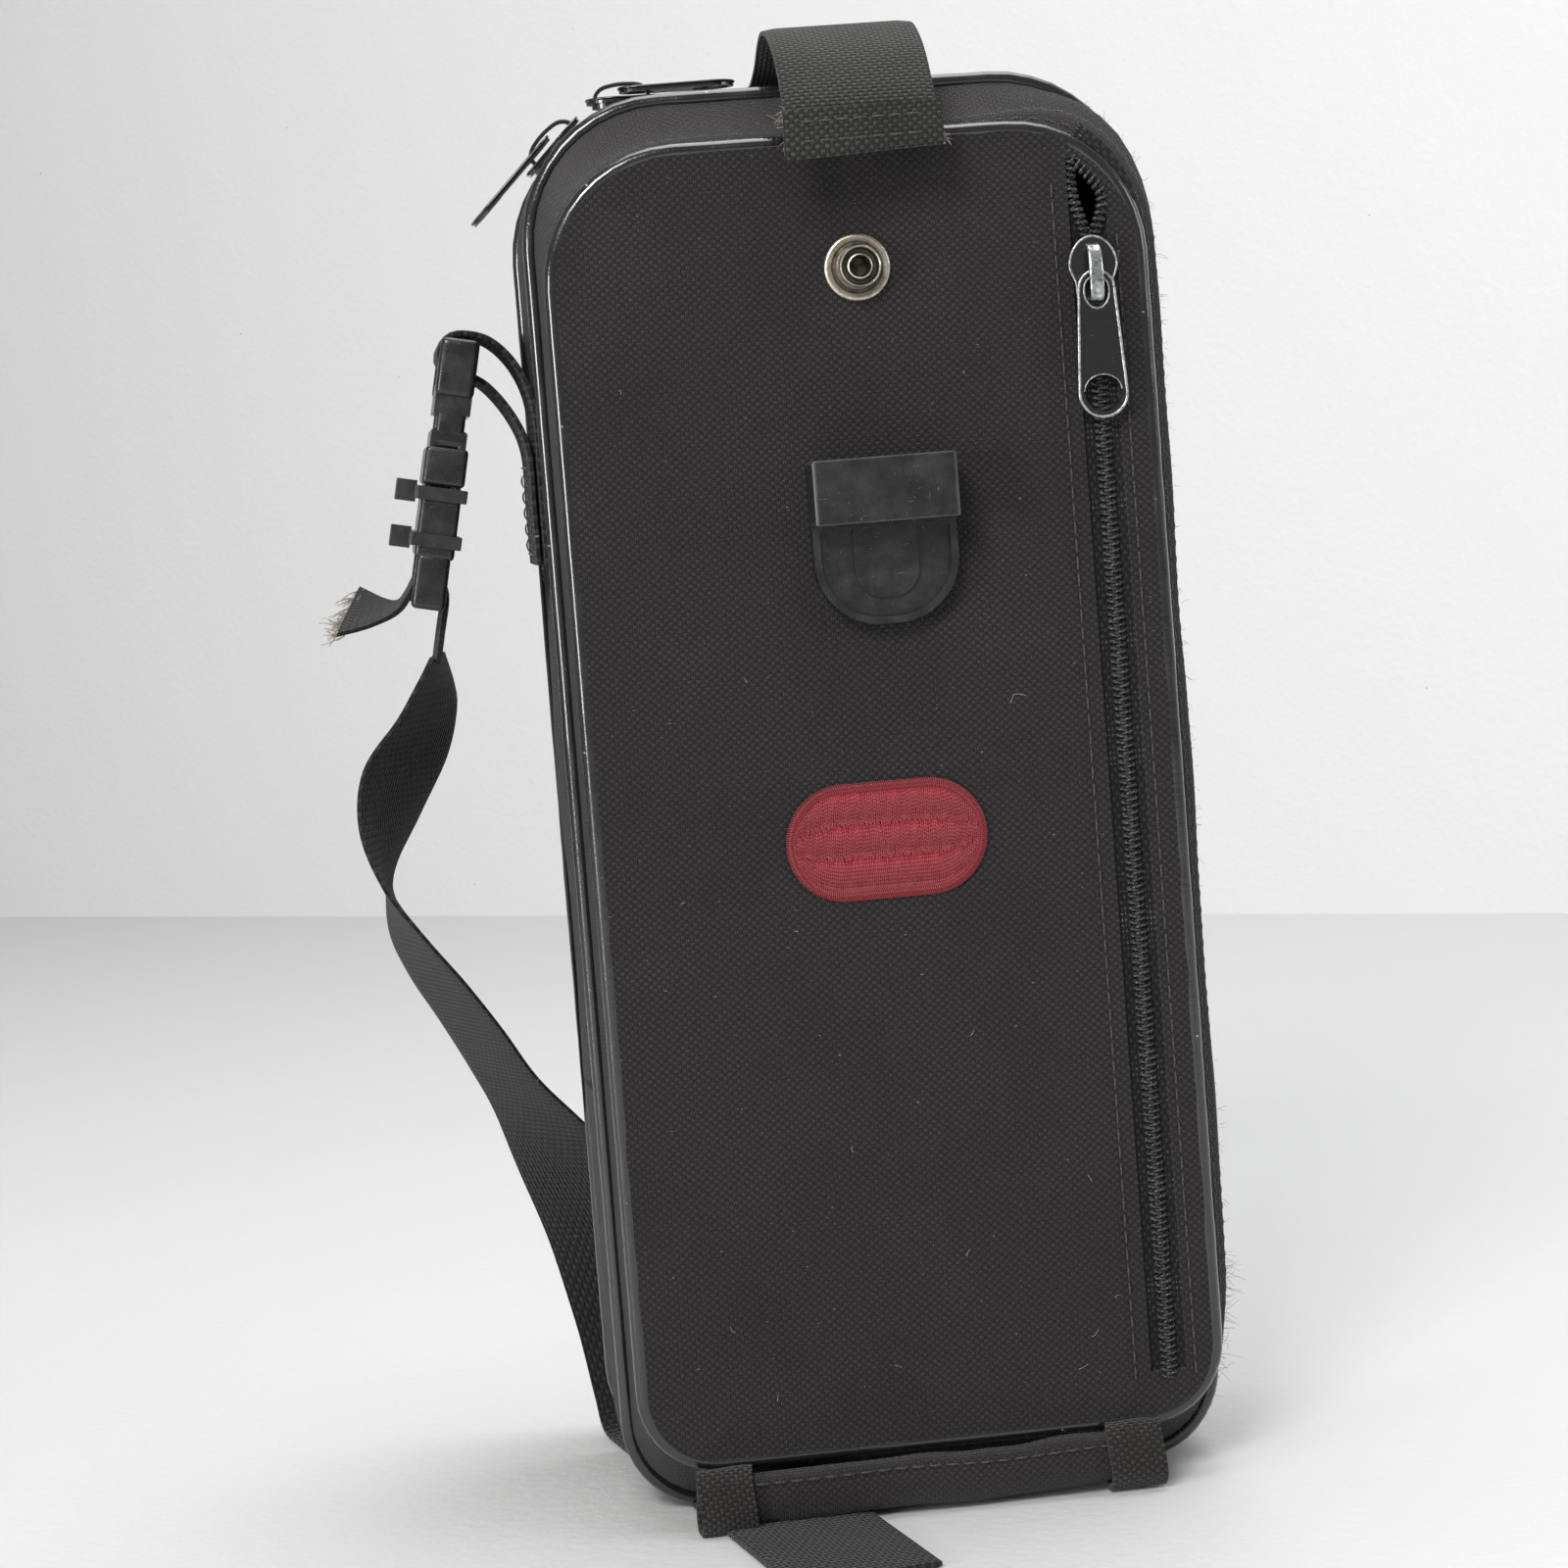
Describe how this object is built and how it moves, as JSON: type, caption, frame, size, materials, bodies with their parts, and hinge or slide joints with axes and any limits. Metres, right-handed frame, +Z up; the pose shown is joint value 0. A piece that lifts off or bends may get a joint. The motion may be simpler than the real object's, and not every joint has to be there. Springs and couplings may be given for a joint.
{
  "type": "padded carrying case",
  "caption": "Upright soft padded carrying case with a zipped fold-down front, zipped front pocket, top tab, shoulder strap and belt clip dock.",
  "frame": {"origin": "middle of the bottom face that the case stands on", "axes": "+X to the right seen from the front, +Y from the front pocket to the back panel, +Z up the height"},
  "size_m": [0.1602, 0.1377, 0.2813],
  "materials": {
    "case_fabric": "coarse basket-woven nylon, matte, slightly worn",
    "foam": "closed-cell foam padding",
    "lining": "smooth woven nylon lining",
    "vinyl_piping": "glossy vinyl over cord, nicked",
    "zip_tape": "fine woven tape",
    "zip_coil": "nylon coil, semi-gloss",
    "webbing": "ribbed webbing, faded and frayed",
    "plated_metal": "worn nickel plate",
    "black_plastic": "moulded, scratched",
    "tie_nylon": "smooth nylon",
    "slider_enamel": "black enamel, bright worn edges",
    "red_thread": "satin-stitch thread"
  },
  "bodies": {
    "case": {"back_panel": "case_fabric", "back_foam": "foam", "back_lining": "lining", "rear_piping": "vinyl_piping", "side_gusset": "case_fabric", "side_foam": "foam", "side_lining": "lining", "bottom_gusset": "case_fabric", "bottom_foam": "foam", "bottom_lining": "lining", "main_tape_rear": "zip_tape", "main_coil_rear": "zip_coil", "lower_cover_panel": "case_fabric", "lower_cover_foam": "foam", "lower_cover_lining": "lining", "lower_cover_piping": "vinyl_piping", "lower_pocket_gusset": "case_fabric", "lower_pocket_piping": "vinyl_piping", "lower_pocket_front": "case_fabric", "lower_pocket_tapes": "zip_tape", "lower_pocket_coils": "zip_coil", "hem_roll": "case_fabric", "hem_wrap_left": "webbing", "hem_wrap_right": "webbing", "tab_seam": "webbing", "strap_stub": "webbing", "shoulder_strap": "webbing"},
    "cover": {"main_tape_front": "zip_tape", "main_coil_front": "zip_coil", "cover_panel": "case_fabric", "cover_foam": "foam", "cover_lining": "lining", "cover_piping": "vinyl_piping", "front_gusset": "case_fabric", "pocket_gusset": "case_fabric", "pocket_piping": "vinyl_piping", "pocket_front": "case_fabric", "pocket_tape_left": "zip_tape", "pocket_tape_right": "zip_tape", "pocket_coil_left": "zip_coil", "pocket_coil_right": "zip_coil", "snap_stud": "plated_metal", "snap_rivet": "plated_metal", "dock_base": "black_plastic", "dock_hood": "black_plastic", "dock_rivets": "plated_metal", "embroidered_patch": "red_thread"},
    "pocket_slider": {"pocket_slider": "slider_enamel"},
    "pocket_pull": {"pocket_pull": "slider_enamel"},
    "main_slider_top": {"main_slider_top": "slider_enamel"},
    "main_pull_top": {"main_pull_top": "slider_enamel"},
    "main_slider_left": {"main_slider_left": "slider_enamel"},
    "main_pull_left": {"main_pull_left": "slider_enamel"},
    "tab": {"top_tab": "webbing", "tab_hem": "webbing"},
    "buckle": {"buckle_male": "black_plastic", "buckle_female": "black_plastic", "cable_tie_upper": "tie_nylon", "cable_tie_lower": "tie_nylon", "strap_tail": "webbing"}
  },
  "joints": [
    {"name": "cover_fold", "type": "hinge", "parent": "case", "child": "cover", "pos_m": [0, -0.035, 0.081], "axis": [1, 0, 0], "range_deg": [0, 90]},
    {"name": "tab_lift", "type": "hinge", "parent": "case", "child": "tab", "pos_m": [0.003, 0.016, 0.273], "axis": [-1, 0, 0], "range_deg": [0, 168]},
    {"name": "pocket_slide", "type": "slide", "parent": "cover", "child": "pocket_slider", "axis": [0, 0, 1], "range_m": [-0.12, 0.0085]},
    {"name": "pocket_pull_swing", "type": "hinge", "parent": "pocket_slider", "child": "pocket_pull", "pos_m": [0.0455, -0.0363, 0.23], "axis": [-1, 0, 0], "range_deg": [0, 170]},
    {"name": "top_slide", "type": "slide", "parent": "case", "child": "main_slider_top", "axis": [1, 0, 0], "range_m": [0, 0.0725]},
    {"name": "top_pull_swing", "type": "hinge", "parent": "main_slider_top", "child": "main_pull_top", "pos_m": [-0.0365, -0.003, 0.2731], "axis": [0, -1, 0], "range_deg": [0, 110]},
    {"name": "left_slide_arc", "type": "hinge", "parent": "case", "child": "main_slider_left", "pos_m": [-0.0315, -0.003, 0.2435], "axis": [0, -1, 0], "range_deg": [0, 40]},
    {"name": "left_pull_swing", "type": "hinge", "parent": "main_slider_left", "child": "main_pull_left", "pos_m": [-0.05243, -0.003, 0.26443], "axis": [0, 1, 0], "range_deg": [0, 110]},
    {"name": "buckle_swing", "type": "hinge", "parent": "case", "child": "buckle", "pos_m": [-0.072, 0.017, 0.226], "axis": [0, 1, 0], "range_deg": [-4, 15]}
  ],
  "couplings": [
    {"joint": "tab_lift", "follows": "cover_fold", "ratio": 1.85}
  ]
}
